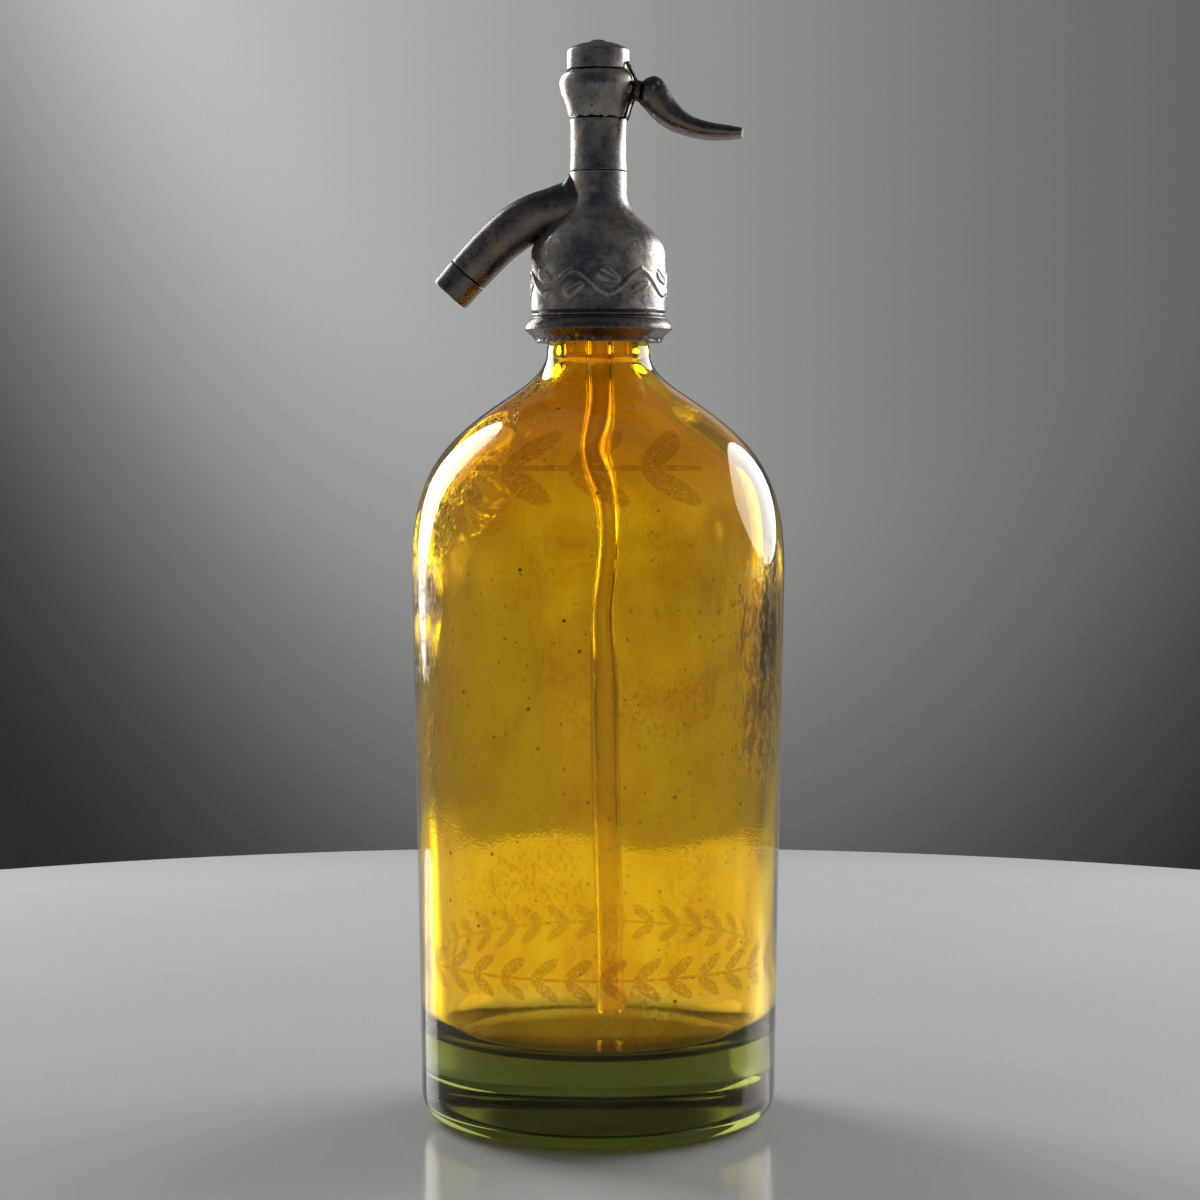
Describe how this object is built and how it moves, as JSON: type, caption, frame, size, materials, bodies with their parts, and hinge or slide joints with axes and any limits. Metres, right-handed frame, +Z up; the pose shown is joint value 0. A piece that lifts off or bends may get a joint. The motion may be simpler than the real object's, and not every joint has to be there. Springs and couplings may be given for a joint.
{
  "type": "soda siphon",
  "caption": "Glass soda siphon with a cast metal head, bent spout, sprung thumb lever, lifting valve and dip tube.",
  "frame": {"origin": "centre of the bottle's foot, on the surface it stands on", "axes": "+Z up along the bottle; +X towards the lever; the spout points to -X"},
  "size_m": [0.102, 0.102, 0.2948],
  "materials": {
    "amber_glass": "clear amber glass, worn and scratched",
    "tube_glass": "clear glass tube",
    "pewter": "aged grey pewter, satin, pitted",
    "dark_pewter": "tarnished pewter",
    "brass": "turned",
    "wire_steel": "dark drawn wire",
    "spring_steel": "bright spring wire",
    "rubber": "matte",
    "leather": "greased"
  },
  "bodies": {
    "siphon": {"glass_bottle": "amber_glass", "dip_tube": "tube_glass", "collar_half_left": "dark_pewter", "collar_half_right": "dark_pewter", "neck_gasket": "rubber", "tube_washer": "rubber", "valve_seat": "brass", "head_bell": "pewter", "spout_tube": "pewter", "nozzle_tip": "pewter", "neck_tube": "pewter", "lever_housing": "pewter", "top_cap": "pewter", "retaining_wire": "wire_steel", "stem_packing": "leather", "packing_nut": "brass", "return_spring": "spring_steel"},
    "lever": {"lever": "pewter"},
    "stem": {"valve_stem": "brass", "valve_disc": "rubber", "valve_screw": "brass", "stem_collar": "brass", "stem_locknut": "brass"}
  },
  "joints": [
    {"name": "lever_press", "type": "hinge", "parent": "siphon", "child": "lever", "pos_m": [0.0082, 0, 0.28105], "axis": [0, 1, 0], "range_deg": [0, 12], "stiffness_Nm_per_rad": 0.1, "springref_deg": -20.05},
    {"name": "stem_lift", "type": "slide", "parent": "siphon", "child": "stem", "axis": [0, 0, 1], "range_m": [0, 0.00171], "deforming": ["return_spring"]}
  ],
  "couplings": [
    {"joint": "lever_press", "follows": "stem_lift", "rad_per_m": 121.95}
  ]
}
